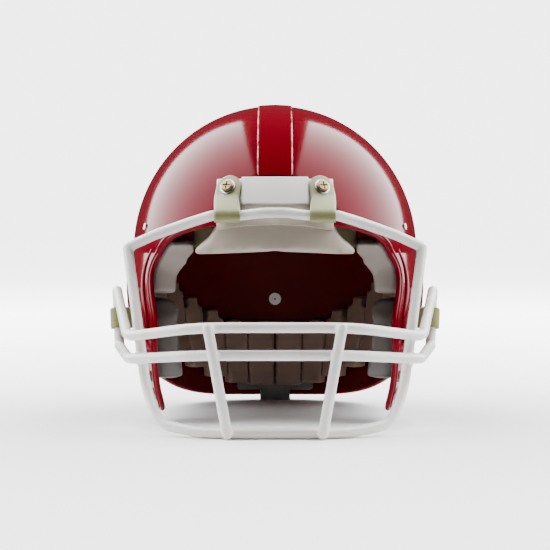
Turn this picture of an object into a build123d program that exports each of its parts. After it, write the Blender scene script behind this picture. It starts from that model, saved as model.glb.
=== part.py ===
"""American football helmet with a wire face mask, in millimetres.

+Z is up, -Y is the way the wearer looks, +X is the wearer's left. The origin is on the
floor under the middle of the helmet. The helmet stands on the face mask's chin bar and
on the rubber bumper at the nape.
"""

import math
import os

from build123d import *

os.makedirs("parts", exist_ok=True)

# ---- Driving dimensions -------------------------------------------------------------

SHELL_HALF_WIDTH = 115.0  # of the plain dome, without the ear bulges
SHELL_FRONT = 142.0  # from the widest section to the brow
SHELL_REAR = 128.0  # from the widest section to the back of the head
SHELL_Y = 38.0  # where the widest section stands
EQUATOR_Z = 132.0  # height of the widest level, where the dome starts
DOME_HEIGHT = 117.5
WALL = 4.0  # shell thickness
EAR_BULGE = 7.0
EAR = (46.0, 86.0)  # Y and Z of the ear hole
EAR_HOLE_RADIUS = 12.0

LINER_GAP = 0.4  # air between the shell and what lines it
PAD_THICKNESS = 19.0
FOAM_THICKNESS = 9.0
LINER_OUTER, LINER_INNER = 7.6, 19.4  # insets of the rear liner's two faces
LINER_PITCH = 13.1  # degrees of turn from one rear liner cell to the next

STRIPE_HALF_WIDTH = 13.5
STRIPE_THICKNESS = 1.0
BUMPER_THICKNESS = 3.0
EAR_THICKNESS = 1.6  # of the front bumper's thin ears and lip
BUMPER_HALF_WIDTH = 25.0
BUMPER_EAR_REACH = 44.0

WIRE_RADIUS = 4.0  # of a coated face-mask bar
HINGE_Y, HINGE_Z = -105.0, 161.0  # axis of the top bar where the clips hold it
CLIP_X = 35.5  # centre of each top clip
CLIP_WIDTH = 18.0
STRAP = 2.4  # thickness of the clips' vinyl
BORE_PLAY = 0.08  # radial play of the top bar in its clips
SWING_GAP = 0.35  # between the side clips and the shell

SCREW_RADIUS = 2.4
HEAD_RADIUS = 4.8
HEAD_HEIGHT = 2.4
WASHER_RADIUS = 6.0
WASHER_THICKNESS = 0.8
NUT_RADIUS = 3.6
NUT_FLANGE = (7.5, 1.2)  # radius and thickness
DRILL_PLAY = 0.1
SIDE_SCREW = (9.0, 79.5)  # Y and Z of the side clips' screws
SIDE_TAB_X = 120.5  # outer face of the side clips' tabs
TOP_SCREW = (34.0, 180.4)  # X and Z of the top clips' screws
CHIN_SNAPS = [(-47, 37), (-45, 22.5)]  # Y and Z of the chin-strap studs
JAW_STUDS = [(-30, 52), (-14, 74)]  # Y and Z of the studs that hold a jaw pad
TEMPLE_RIVET = (-24, 152)
RIVET_RADIUS = 1.5
VALVE_Z = 87.0
REAR_EDGE_Z = 4.0

SIDES = {"left": 1, "right": -1}


# ---- The helmet's form: one formula for shell, pads and trim --------------------------


def level_size(z, inset):
    """Half width, reach to the front, reach to the rear and squareness of a level section."""
    wide, front, rear = SHELL_HALF_WIDTH - inset, SHELL_FRONT - inset, SHELL_REAR - inset
    if z >= EQUATOR_Z:
        shrink = math.sqrt(max(1e-6, 1 - ((z - EQUATOR_Z) / (DOME_HEIGHT - inset)) ** 2))
        return wide * shrink, front * shrink, rear * shrink, 2.0
    drop = (EQUATOR_Z - z) / EQUATOR_Z
    return wide - 26 * drop**2.6, front - 14 * drop**2, rear - 22 * drop**1.5, 2 + 2 * drop


def side_x(y, z, inset=0.0):
    """Half width of the form at a point of the side view, with the swelling over the ear."""
    wide, front, rear, squareness = level_size(z, inset)
    reach = front if y < SHELL_Y else rear
    power = squareness if y < SHELL_Y else 2 + (squareness - 2) * 0.2
    share = min(1.0, abs(y - SHELL_Y) / reach)
    swell = EAR_BULGE * math.exp(-(((y - EAR[0]) / 50) ** 2) - ((z - 92) / 28) ** 4)
    return (wide + swell) * (1 - share**power) ** (1 / power)


def front_y(x, z, inset=0.0):
    """Y of the dome's front at a point of the front view."""
    wide, front, _, _ = level_size(z, inset)
    return SHELL_Y - front * math.sqrt(1 - (x / wide) ** 2)


def level_points(z, inset, count=32):
    """Points round a level section."""
    _, front, rear, squareness = level_size(z, inset)
    points = []
    for k in range(count):
        turn = 2 * math.pi * k / count
        reach = rear if math.sin(turn) >= 0 else front
        power = 2 + (squareness - 2) * 0.2 if math.sin(turn) >= 0 else squareness
        y = SHELL_Y + math.copysign(abs(math.sin(turn)) ** (2 / power) * reach, math.sin(turn))
        x = 0.0 if k % (count // 2) == count // 4 else side_x(y, z, inset)
        points.append((math.copysign(x, math.cos(turn)), y))
    return points


def make_form(inset):
    """The whole helmet form, filled, with its surface that far inside the shell's outer face."""
    low = [-14, 4, 22, 40, 58, 76, 94, 112, 124]
    rise = [math.radians(a) for a in (0, 10, 20, 30, 40, 50, 60, 69, 77, 84)]
    levels = low + [EQUATOR_Z + (DOME_HEIGHT - inset) * math.sin(a) for a in rise]
    with BuildPart() as form:
        for z in levels:
            with BuildSketch(Plane.XY.offset(z)):
                with BuildLine():
                    Spline(*level_points(z, inset), periodic=True)
                make_face()
        loft()
    return form.part


OUTER = make_form(0)
INNER = make_form(WALL)
LINED = make_form(WALL + LINER_GAP)
PAD_FACE = make_form(WALL + LINER_GAP + PAD_THICKNESS)
FOAM_FACE = make_form(WALL + LINER_GAP + PAD_THICKNESS + FOAM_THICKNESS)
STRIPE_OUTER = make_form(-STRIPE_THICKNESS)
BUMPER_OUTER = make_form(-BUMPER_THICKNESS)
EAR_OUTER = make_form(-EAR_THICKNESS)
SWING_LIMIT = make_form(-SWING_GAP)


# ---- Planes and plain tool solids ----------------------------------------------------


def tilted_plane(origin, normal):
    """A plane facing along normal, its local x as level as it can be."""
    normal = Vector(*normal).normalized()
    level = Vector(0, 0, 1).cross(normal).normalized()
    return Plane(origin=origin, x_dir=level, z_dir=normal)


def dome_plane(x, y, z):
    """At a point of the dome's outer face, with local z pointing out."""
    reach = SHELL_FRONT if y < SHELL_Y else SHELL_REAR
    normal = (x / SHELL_HALF_WIDTH**2, (y - SHELL_Y) / reach**2, (z - EQUATOR_Z) / DOME_HEIGHT**2)
    return tilted_plane((x, y, z), normal)


def brow_plane(side):
    """At a top clip's screw."""
    x, z = TOP_SCREW
    return dome_plane(side * x, front_y(x, z), z)


def cheek_plane(side, y, z, step=0.5):
    """On the shell's side, on its outer face, with local z pointing out."""
    slope_y = (side_x(y + step, z) - side_x(y - step, z)) / (2 * step)
    slope_z = (side_x(y, z + step) - side_x(y, z - step)) / (2 * step)
    return tilted_plane((side * side_x(y, z), y, z), (side, -slope_y, -slope_z))


def outward_plane(side, x, y, z):
    """Square to the X axis at a point, with local x along Y and local z pointing out."""
    return Plane(origin=(side * x, y, z), x_dir=(0, 1, 0), z_dir=(side, 0, 0))


def disc(plane, radius, bottom, top):
    """A round bar between two heights above a plane."""
    with BuildPart() as round_bar:
        with BuildSketch(plane.offset(bottom)):
            Circle(radius)
        extrude(amount=top - bottom)
    return round_bar.part


def side_slab(side, points, inner=0.0, outer=170.0, rounding=0.0):
    """A prism along X over an outline in the side view, on one side of the helmet."""
    with BuildPart() as slab:
        with BuildSketch(Plane.YZ.offset(side * inner)):
            with BuildLine():
                Polyline(*points, close=True)
            make_face()
            if rounding:
                fillet(vertices(), rounding)
        extrude(amount=side * (outer - inner))
    return slab.part


def front_slab(points, near, far, rounding=0.0):
    """A prism along Y over an outline in the front view."""
    with BuildPart() as slab:
        with BuildSketch(Plane(origin=(0, near, 0), x_dir=(1, 0, 0), z_dir=(0, -1, 0))):
            with BuildLine():
                Polyline(*points, close=True)
            make_face()
            if rounding:
                fillet(vertices(), rounding)
        extrude(amount=near - far)
    return slab.part


def rectangle(half_width, low, high):
    """Corners of an upright rectangle about the middle of the front view."""
    return [(-half_width, low), (half_width, low), (half_width, high), (-half_width, high)]


def save(name, part):
    """Labels a finished piece and writes its file."""
    part.label = name
    export_step(part, f"parts/{name}.step")


# ---- Shell ---------------------------------------------------------------------------

BROW_EDGE = [(-104, 157), (-90, 153), (-67, 144.6), (-53, 132.5), (-48.5, 119), (-52.5, 107)]
CHEEK_EDGE = [(-60, 94), (-66.5, 78), (-65.5, 58), (-62, 40), (-57, 24)]
JAW_EDGE = [(-50, 10), (-40, 8), (-20, 10), (4, 25), (40, 33), (84, 20), (136, 4.5)]

with BuildPart() as below_edge:  # everything in front of the face opening and under the rim
    with BuildSketch(Plane.YZ):
        with BuildLine():
            edge = Spline(*BROW_EDGE, *CHEEK_EDGE, *JAW_EDGE, (175, REAR_EDGE_Z))
            Polyline(edge @ 1, (200, REAR_EDGE_Z), (200, -40), (-200, -40), (-200, 157), edge @ 0)
        make_face()
    extrude(amount=200, both=True)

shell_holes = []
for side in SIDES.values():
    shell_holes.append(disc(brow_plane(side), NUT_RADIUS + DRILL_PLAY, -8, 4))
    shell_holes.append(disc(outward_plane(side, 95, *SIDE_SCREW), NUT_RADIUS + DRILL_PLAY, 0, 50))
    shell_holes.append(disc(outward_plane(side, 95, *EAR), EAR_HOLE_RADIUS, 0, 50))
    for spot in CHIN_SNAPS + [TEMPLE_RIVET]:
        shell_holes.append(disc(cheek_plane(side, *spot), RIVET_RADIUS + DRILL_PLAY, -8, 4))
rear_plane = Plane(origin=(0, 0, VALVE_Z), x_dir=(1, 0, 0), z_dir=(0, 1, 0))
shell_holes.append(disc(rear_plane, 3.0, 100, 200))

with BuildPart() as shell:
    add(OUTER)
    add(INNER, mode=Mode.SUBTRACT)
    add(below_edge.part, mode=Mode.SUBTRACT)
    add(shell_holes, mode=Mode.SUBTRACT)
save("shell", shell.part)

stripe_front = front_slab(rectangle(STRIPE_HALF_WIDTH, 191, 260), SHELL_Y + 1, -170)
stripe_rear = front_slab(rectangle(STRIPE_HALF_WIDTH, 24, 260), 170, SHELL_Y)
valve_room = disc(rear_plane, 8.0, 100, 200)

with BuildPart() as center_stripe:
    add([stripe_front, stripe_rear])
    add(STRIPE_OUTER, mode=Mode.INTERSECT)
    add(OUTER, mode=Mode.SUBTRACT)
    add(valve_room, mode=Mode.SUBTRACT)
save("center_stripe", center_stripe.part)

# ---- Rubber trim ---------------------------------------------------------------------

LIP_TOP = 158.0  # how far up the bumper's lip reaches inside the shell

plate_slab = front_slab(rectangle(BUMPER_HALF_WIDTH, 170, 190), 0, -170)
ear_outline = [(-BUMPER_EAR_REACH, 188.5), (-BUMPER_EAR_REACH, 149.5), (-22, 153), (0, 154)]
ear_outline += [(-x, z) for x, z in reversed(ear_outline[:-1])]
ear_slab = front_slab(ear_outline, 0, -170)
upper_slab = front_slab(rectangle(BUMPER_EAR_REACH + 10, LIP_TOP, 200), 0, -170)
ear_holes = [disc(brow_plane(side), NUT_RADIUS + DRILL_PLAY, -8, 8) for side in SIDES.values()]

with BuildPart() as plate:
    add(plate_slab)
    add(BUMPER_OUTER, mode=Mode.INTERSECT)
with BuildPart() as above_lip:
    add(upper_slab)
    add(INNER, mode=Mode.INTERSECT)
with BuildPart() as front_bumper:
    add(ear_slab)
    add(EAR_OUTER, mode=Mode.INTERSECT)
    add(plate.part)
    add([LINED, above_lip.part], mode=Mode.SUBTRACT)
    add(shell.part, mode=Mode.SUBTRACT)
    add(ear_holes, mode=Mode.SUBTRACT)
save("front_bumper", front_bumper.part)

FOOT_HALF_WIDTH = 13.0
FLANGE_HALF_WIDTH = 33.0
FLANGE_TOP = 20.0
FOOT_TOP = 9.0

foot_slab = front_slab(rectangle(FOOT_HALF_WIDTH, 0, FOOT_TOP + 1), 170, 100)
flange_slab = front_slab(rectangle(FLANGE_HALF_WIDTH, FOOT_TOP, FLANGE_TOP), 170, 100, rounding=3)
bumper_core = make_form(WALL + 3)

with BuildPart() as rear_bumper:
    add([foot_slab, flange_slab])
    add(BUMPER_OUTER, mode=Mode.INTERSECT)
    add(bumper_core, mode=Mode.SUBTRACT)
    add(shell.part, mode=Mode.SUBTRACT)
save("rear_bumper", rear_bumper.part)

# ---- Pads ------------------------------------------------------------------------------

forehead_outline = [(-45, 152), (-50, 144.5), (-61.5, 134.8), (-60.5, 131.3), (0, 134.3)]
forehead_outline += [(-x, z) for x, z in reversed(forehead_outline[:-1])]
forehead_outline += [(45, 184), (-45, 184)]
forehead_slab = front_slab(forehead_outline, -30, -170)
nut_rooms = [disc(brow_plane(side), NUT_FLANGE[0] + 1, -7, 0) for side in SIDES.values()]

with BuildPart() as forehead_pad:
    add(forehead_slab)
    add(LINED, mode=Mode.INTERSECT)
    add(PAD_FACE, mode=Mode.SUBTRACT)
    add(nut_rooms, mode=Mode.SUBTRACT)
save("forehead_pad", forehead_pad.part)

foam_outline = [(-66, 136), (66, 136), (62, 150), (40, 178), (-40, 178), (-62, 150)]
foam_slab = front_slab(foam_outline, -30, -170)

with BuildPart() as forehead_foam:
    add(foam_slab)
    add(PAD_FACE, mode=Mode.INTERSECT)
    add(FOAM_FACE, mode=Mode.SUBTRACT)
save("forehead_foam", forehead_foam.part)

TEMPLE_SEAM_Z = 118.5  # below this seam the temple pads are thinner
TEMPLE_PANEL_X = 76.5
temple_outline = [(-45, 100), (-44, 118), (-47, 128), (-60, 139), (-40, 146), (-5, 146), (-5, 100)]
for name, side in SIDES.items():
    temple_slab = side_slab(side, temple_outline, inner=62.5)
    seam_step = side_slab(side, rectangle(70, 90, TEMPLE_SEAM_Z), inner=40, outer=TEMPLE_PANEL_X)
    with BuildPart() as temple_pad:
        add(temple_slab)
        add(LINED, mode=Mode.INTERSECT)
        add([PAD_FACE, forehead_slab, seam_step], mode=Mode.SUBTRACT)
    save(f"temple_pad_{name}", temple_pad.part)


def nape_point(turn, z, inset):
    """A point of the form's rear half, about that many degrees round from straight back."""
    _, _, rear, squareness = level_size(z, inset)
    power = 2 + (squareness - 2) * 0.2
    y = SHELL_Y + rear * math.cos(math.radians(turn)) ** (2 / power)
    return math.copysign(side_x(y, z, inset), turn), y


def liner_block(turn, half_turn, levels):
    """A block of the liner with flat faces, between two turns and from its first level to its last."""
    with BuildPart() as block:
        for z in levels:
            with BuildSketch(Plane.XY.offset(z)):
                with BuildLine():
                    outer = [nape_point(turn + s * half_turn, z, LINER_OUTER) for s in (-1, 1)]
                    inner = [nape_point(turn + s * half_turn, z, LINER_INNER) for s in (1, -1)]
                    Polyline(*outer, *inner, close=True)
                make_face()
        loft(ruled=True)
    return block.part


CELL_TOPS = [67, 70, 79, 91, 104, 111]  # from the nape to the ear
CELL_BOTTOMS = [14, 16, 22, 31, 40, 50]
TAB_HEIGHT = 8.0  # how far the tabs stand above the cells
liner_cells = []
for i, (top, bottom) in enumerate(zip(CELL_TOPS, CELL_BOTTOMS)):
    for side in SIDES.values():
        turn = side * LINER_PITCH * (i + 0.5)
        shoulder = top - TAB_HEIGHT
        body = liner_block(turn, LINER_PITCH / 2 - 0.15, (bottom, (bottom + shoulder) / 2, shoulder))
        tab = liner_block(turn, LINER_PITCH / 4, (shoulder - 1, top))
        with BuildPart() as cell:
            add([body, tab])
        liner_cells.append(cell.part)
rear_liner = Compound(children=liner_cells)
save("rear_liner", rear_liner)

CROWN_PAD_RADIUS = 16.5
CROWN_RING_RADIUS = 42.0
CROWN_TOP, CROWN_BOTTOM = -6.2, -21.0  # from the shell's outer face
crown_cells = []
for i in range(7):
    turn = math.radians(60 * i)
    reach = 0.01 if i == 6 else CROWN_RING_RADIUS
    x, y = reach * math.cos(turn), reach * math.sin(turn)
    front = SHELL_FRONT if y < 0 else SHELL_REAR
    z = EQUATOR_Z + DOME_HEIGHT * math.sqrt(1 - (x / SHELL_HALF_WIDTH) ** 2 - (y / front) ** 2)
    crown_cells.append(disc(dome_plane(x, SHELL_Y + y, z), CROWN_PAD_RADIUS, CROWN_BOTTOM, CROWN_TOP))
crown_pad = Compound(children=crown_cells)
save("crown_pad", crown_pad)

jaw_outline = [(-46, 34), (0, 34), (0, 96), (-42, 96), (-48, 84)]
for name, side in SIDES.items():
    jaw_slab = side_slab(side, jaw_outline, inner=50, rounding=5)
    sockets = [disc(outward_plane(side, 50, *spot), 3.4, 0, 60) for spot in JAW_STUDS]
    for spot in JAW_STUDS:
        sockets.append(disc(outward_plane(side, side_x(*spot, WALL) - 4.5, *spot), 5.6, 0, 30))
    sockets += [disc(cheek_plane(side, *spot), 5.2, -6, 0) for spot in CHIN_SNAPS]
    with BuildPart() as jaw_pad:
        add(jaw_slab)
        add(LINED, mode=Mode.INTERSECT)
        add(PAD_FACE, mode=Mode.SUBTRACT)
        add(sockets, mode=Mode.SUBTRACT)
    save(f"jaw_pad_{name}", jaw_pad.part)

# ---- Studs, snaps, rivets and the valve --------------------------------------------------

jaw_studs = []
for side in SIDES.values():
    for spot in JAW_STUDS:
        wall = side_x(*spot, WALL)
        base = disc(outward_plane(side, wall - 3.5, *spot), 5.0, 0, 12)
        post = disc(outward_plane(side, wall - 9.0, *spot), 3.0, 0, 6)
        with BuildPart() as jaw_stud:
            add(base)
            add(INNER, mode=Mode.INTERSECT)
            add(post)
        jaw_studs.append(jaw_stud.part)
jaw_pad_studs = Compound(children=jaw_studs)
save("jaw_pad_studs", jaw_pad_studs)

snap_parts = []
for side in SIDES.values():
    for spot in CHIN_SNAPS:
        plane = cheek_plane(side, *spot)
        layers = [(5.6, 0.1, 1.2), (4.0, 1.0, 3.8), (RIVET_RADIUS, -4.4, 0.2), (4.0, -5.1, -4.3)]
        snap_layers = [disc(plane, *layer) for layer in layers]
        with BuildPart() as snap:
            add(snap_layers)
        snap_parts.append(snap.part)
chin_strap_snaps = Compound(children=snap_parts)
save("chin_strap_snaps", chin_strap_snaps)

rivet_parts = []
for side in SIDES.values():
    plane = cheek_plane(side, *TEMPLE_RIVET)
    rivet_layers = [disc(plane, 2.6, 0.1, 1.1), disc(plane, RIVET_RADIUS, -3.9, 0.2)]
    with BuildPart() as rivet:
        add(rivet_layers)
    rivet_parts.append(rivet.part)
temple_rivets = Compound(children=rivet_parts)
save("temple_rivets", temple_rivets)

valve_y = SHELL_Y + level_size(VALVE_Z, 0)[2]
valve_layers = [(5.3, -5.0, -3.7), (2.9, -3.8, 0.7), (7.0, 0.6, 2.0)]
valve_discs = [disc(rear_plane, r, valve_y + low, valve_y + high) for r, low, high in valve_layers]
needle_hole = disc(rear_plane, 0.8, valve_y - 6, valve_y - 2)
with BuildPart() as inflation_valve:
    add(valve_discs)
    add([needle_hole, shell.part], mode=Mode.SUBTRACT)
save("inflation_valve", inflation_valve.part)

# ---- Face mask ---------------------------------------------------------------------------


def mirrored(half):
    """A route from the +X end to the -X end, from its +X half."""
    return half + [(-x, y, z) for x, y, z in reversed(half)]


def bent_wire(route, radii):
    """A round wire along straight runs joined by arcs."""
    with BuildPart() as wire:
        with BuildLine() as path:
            FilletPolyline(*route, radius=radii)
        with BuildSketch(Plane(origin=path.wire() @ 0, z_dir=path.wire() % 0)):
            Circle(WIRE_RADIUS)
        sweep(path=path.wire())
    return wire.part


def straight_wire(start, end, tip_radius=WIRE_RADIUS):
    """A round bar with balls at its ends."""
    start, end = Vector(*start), Vector(*end)
    length = (end - start).length
    with BuildPart() as wire:
        with BuildSketch(Plane(origin=start, z_dir=(end - start).normalized())):
            Circle(WIRE_RADIUS)
        extrude(amount=length)
        for tip in (start, end):
            with Locations(tip):
                Sphere(tip_radius)
    return wire.part


TOP_CORNER = (111.8, -77, 138)
UPPER_REAR = (125, -10, 101)
LOWER_REAR = (122.5, -20, 58)

top_half = [(111.6, -77.2, 136.8), (90, -85.5, 146.6), (62, -97, 156.3)]
top_half += [(46.5, HINGE_Y, HINGE_Z), (24.5, HINGE_Y, HINGE_Z), (8, HINGE_Y - 4, HINGE_Z + 2)]
top_radii = [60, 40, 8, 9, 20]
save("mask_top_bar", bent_wire(mirrored(top_half), top_radii + top_radii[::-1]))

jaw_half = [TOP_CORNER, (102.8, -104, 84), (95.5, -115, 33), (85, -132, 8.5), (55, -149, 4), (30, -155.2, 4)]
jaw_radii = [120, 60, 22, 50, 50]
save("mask_jaw_loop", bent_wire(mirrored(jaw_half), jaw_radii + jaw_radii[::-1]))

upper_half = [UPPER_REAR, (109.8, -109, 71), (57, -158.2, 80.6)]
save("mask_upper_bar", bent_wire(mirrored(upper_half), [26, 60, 60, 26]))

lower_half = [LOWER_REAR, (108.5, -110, 54.5), (56, -156.7, 60.5)]
save("mask_lower_bar", bent_wire(mirrored(lower_half), [26, 60, 60, 26]))

for name, side in SIDES.items():
    top = (side * 48, -163, 80.6)
    bottom = (side * 34.4, -161.5, WIRE_RADIUS)
    save(f"mask_upright_{name}", straight_wire(top, bottom))
    rear_ends = [(side * x, y, z) for x, y, z in (UPPER_REAR, LOWER_REAR)]
    save(f"mask_side_bar_{name}", straight_wire(*rear_ends, tip_radius=WIRE_RADIUS + 0.2))

# ---- Clips that hold the mask ------------------------------------------------------------

LOOP_RADIUS = WIRE_RADIUS + BORE_PLAY + STRAP
TAB_TOP = EAR_THICKNESS + 2 * STRAP  # height of the top clips' outer face above the shell
SEAT = TAB_TOP - 2.0  # depth at which the washers lie

for name, side in SIDES.items():
    near_edge = side * (CLIP_X - CLIP_WIDTH / 2)
    bar_plane = Plane(origin=(near_edge, HINGE_Y, HINGE_Z), x_dir=(0, 1, 0), z_dir=(side, 0, 0))
    loop = disc(bar_plane, LOOP_RADIUS, 0, CLIP_WIDTH)
    bore = disc(bar_plane, WIRE_RADIUS + BORE_PLAY, -5, CLIP_WIDTH + 5)
    neck_outline = [(HINGE_Y - 5.5, HINGE_Z + 3.4), (-92.5, 175.5), (-84, 170), (-98.5, 158)]
    neck = side_slab(side, neck_outline, CLIP_X - CLIP_WIDTH / 2, CLIP_X + CLIP_WIDTH / 2)
    tab_plane = brow_plane(side)
    with BuildPart() as tab:
        with BuildSketch(tab_plane.offset(-3)):
            with Locations((0, -4)):
                Rectangle(CLIP_WIDTH, 10)
            with Locations((0, 1)):
                Circle(CLIP_WIDTH / 2)
        extrude(amount=TAB_TOP + 3)
    screw_way = disc(tab_plane, SCREW_RADIUS + 0.2, -10, 20)
    washer_seat = disc(tab_plane, WASHER_RADIUS + 0.3, SEAT, 20)
    with BuildPart() as top_clip:
        add([loop, neck, tab.part])
        add([bore, screw_way, washer_seat, EAR_OUTER], mode=Mode.SUBTRACT)
    save(f"top_clip_{name}", top_clip.part)


def turned_about_hinge(point, degrees):
    """A point of the side view turned about the mask's hinge, the way the mask swings open."""
    y, z = point[0] - HINGE_Y, point[1] - HINGE_Z
    c, s = math.cos(math.radians(degrees)), math.sin(math.radians(degrees))
    return HINGE_Y + y * c + z * s, HINGE_Z + z * c - y * s


SIDE_CLIP_RADIUS = WIRE_RADIUS + STRAP
SIDE_CLIP_HALF_HEIGHT = 8.0
SLOT_RADIUS = SCREW_RADIUS + 0.7
slot_end = turned_about_hinge(SIDE_SCREW, -7)

for name, side in SIDES.items():
    rise = [u - l for u, l in zip(UPPER_REAR, LOWER_REAR)]
    middle = [(u + l) / 2 for u, l in zip(UPPER_REAR, LOWER_REAR)]
    bar_plane = Plane(origin=(side * middle[0], *middle[1:]), z_dir=(side * rise[0], *rise[1:]))
    loop = disc(bar_plane, SIDE_CLIP_RADIUS, -SIDE_CLIP_HALF_HEIGHT, SIDE_CLIP_HALF_HEIGHT)
    bore = disc(bar_plane, WIRE_RADIUS, -30, 30)
    with BuildPart() as side_tab:
        with BuildSketch(Plane.YZ.offset(side * 100)):
            with Locations(((middle[1] + SIDE_SCREW[0]) / 2, SIDE_SCREW[1])):
                Rectangle(SIDE_SCREW[0] - middle[1], 2 * SIDE_CLIP_HALF_HEIGHT)
            with Locations(SIDE_SCREW):
                Circle(SIDE_CLIP_HALF_HEIGHT)
        extrude(amount=side * (SIDE_TAB_X - 100))
    with BuildPart() as bridge:
        with BuildSketch(Plane.XY.offset(SIDE_SCREW[1] - SIDE_CLIP_HALF_HEIGHT + 0.5)):
            with BuildLine():
                plan = [(112, -14), (128.5, -13), (128.5, -10.5), (SIDE_TAB_X, -1), (112, -1)]
                Polyline(*[(side * x, y) for x, y in plan], close=True)
            make_face()
        extrude(amount=2 * SIDE_CLIP_HALF_HEIGHT - 1)
    with BuildPart() as slot:
        with BuildSketch(Plane.YZ.offset(side * 90)):
            with Locations(SIDE_SCREW, slot_end):
                Circle(SLOT_RADIUS)
            make_hull()
        extrude(amount=side * 50)
    with BuildPart() as side_clip:
        add([loop, side_tab.part, bridge.part])
        add([bore, slot.part, SWING_LIMIT], mode=Mode.SUBTRACT)
    save(f"side_clip_{name}", side_clip.part)

# ---- The clips' fasteners -----------------------------------------------------------------


def make_screw(plane, seat, shank_bottom):
    """A pan-head screw with a cross slot, its head standing on a washer at the seat."""
    bottom = seat + WASHER_THICKNESS
    with BuildPart() as screw:
        with BuildSketch(plane.offset(bottom)):
            Circle(HEAD_RADIUS)
        extrude(amount=HEAD_HEIGHT)
        fillet(faces().sort_by(lambda f: plane.to_local_coords(f.center()).Z)[-1].edges(), 1.2)
        with BuildSketch(plane.offset(shank_bottom)):
            Circle(SCREW_RADIUS)
        extrude(amount=bottom - shank_bottom)
        with BuildSketch(plane.offset(bottom + HEAD_HEIGHT - 1.2)):
            Rectangle(6.0, 1.2)
            Rectangle(1.2, 6.0)
        extrude(amount=3, mode=Mode.SUBTRACT)
    return screw.part


def make_washer(plane, seat):
    with BuildPart() as washer:
        with BuildSketch(plane.offset(seat)):
            Circle(WASHER_RADIUS)
            Circle(SCREW_RADIUS + 0.2, mode=Mode.SUBTRACT)
        extrude(amount=WASHER_THICKNESS)
    return washer.part


def make_nut(plane, flange_top, barrel_top):
    """A T-nut: a flange inside the shell and a barrel through its hole."""
    with BuildPart() as nut:
        with BuildSketch(plane.offset(flange_top - NUT_FLANGE[1])):
            Circle(NUT_FLANGE[0])
        extrude(amount=NUT_FLANGE[1])
        with BuildSketch(plane.offset(flange_top - 0.1)):
            Circle(NUT_RADIUS)
        extrude(amount=barrel_top - flange_top + 0.1)
        with BuildSketch(plane.offset(flange_top - 5)):
            Circle(SCREW_RADIUS + 0.05)
        extrude(amount=20, mode=Mode.SUBTRACT)
    return nut.part


top_screws, side_screws, washers, nuts = [], [], [], []
for side in SIDES.values():
    top_plane = brow_plane(side)
    top_screws.append(make_screw(top_plane, SEAT, -5.0))
    washers.append(make_washer(top_plane, SEAT))
    nuts.append(make_nut(top_plane, -WALL - 0.35, -0.5))

    side_plane = outward_plane(side, 0, *SIDE_SCREW)
    y, z = SIDE_SCREW
    reach = NUT_FLANGE[0]
    rim = [(y + reach, z), (y - reach, z), (y, z + reach), (y, z - reach)]
    flange_x = min(side_x(*point, WALL) for point in rim) - 0.3
    barrel_x = min(side_x(y - NUT_RADIUS, z), side_x(y, z - NUT_RADIUS)) - 0.5
    side_screws.append(make_screw(side_plane, SIDE_TAB_X + 0.1, flange_x - 2))
    washers.append(make_washer(side_plane, SIDE_TAB_X + 0.1))
    nuts.append(make_nut(side_plane, flange_x, barrel_x))

for name, pieces in {
    "top_clip_screws": top_screws,
    "side_clip_screws": side_screws,
    "clip_washers": washers,
    "clip_t_nuts": nuts,
}.items():
    save(name, Compound(children=pieces))
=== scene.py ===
"""The looks of an american football helmet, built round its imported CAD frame.

The shell's form is worked out in millimetres, as in the part's source, and becomes metres when a mesh
is made. The helmet faces -Y, its left-right middle is X = 0 and it stands on Z = 0.
"""

import math

import bmesh
import bpy
import numpy as np
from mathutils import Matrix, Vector


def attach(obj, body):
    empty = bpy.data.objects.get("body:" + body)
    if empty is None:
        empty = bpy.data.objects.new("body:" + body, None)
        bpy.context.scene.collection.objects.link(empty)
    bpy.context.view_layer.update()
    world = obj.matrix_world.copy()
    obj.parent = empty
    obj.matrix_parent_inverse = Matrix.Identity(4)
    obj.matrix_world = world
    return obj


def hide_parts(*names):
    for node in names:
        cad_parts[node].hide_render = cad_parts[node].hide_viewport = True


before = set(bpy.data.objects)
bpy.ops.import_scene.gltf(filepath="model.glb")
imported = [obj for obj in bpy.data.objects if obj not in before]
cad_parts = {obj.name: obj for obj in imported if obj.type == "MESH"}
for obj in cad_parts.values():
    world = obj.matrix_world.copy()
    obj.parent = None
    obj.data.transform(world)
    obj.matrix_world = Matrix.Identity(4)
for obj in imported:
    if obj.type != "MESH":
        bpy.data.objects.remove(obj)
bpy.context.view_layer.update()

MM = 0.001

# ---- The shell's form ---------------------------------------------------------------------

SHELL_HALF_WIDTH = 115.0
SHELL_FRONT = 142.0  # from the middle forward
SHELL_REAR = 128.0  # from the middle back
SHELL_Y = 38.0  # the middle
EQUATOR_Z = 132.0  # the widest level
DOME_HEIGHT = 117.5
WALL = 4.0
EAR_BULGE = 7.0
EAR_HOLE, EAR_HOLE_RADIUS = (46.0, 86.0), 12.0
SKIN_SCALE = 130.0  # millimetres along the dome for a radian of height

BROW_EDGE = [(-104, 157), (-90, 153), (-67, 144.6), (-53, 132.5), (-48.5, 119), (-52.5, 107)]
CHEEK_EDGE = [(-60, 94), (-66.5, 78), (-65.5, 58), (-62, 40), (-57, 24)]
JAW_EDGE = [(-50, 10), (-40, 8), (-20, 10), (4, 25), (40, 33), (84, 20), (136, 4.5), (175, 4)]
HEAD_CENTRE = np.array([0.0, SHELL_Y, 110.0])

STRIPE_HALF_WIDTH = 13.5
STRIPE_FRONT_Z, STRIPE_REAR_Z = 191.0, 24.0


def level(z, inset):
    """Half width, front reach, rear reach and squareness of the form at a level below the widest."""
    drop = np.clip((EQUATOR_Z - z) / EQUATOR_Z, 0, None)
    wide = SHELL_HALF_WIDTH - 26 * drop**2.6 - inset
    front = SHELL_FRONT - 14 * drop**2 - inset
    rear = SHELL_REAR - 22 * drop**1.5 - inset
    return wide, front, rear, 2 + 2 * drop


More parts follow.
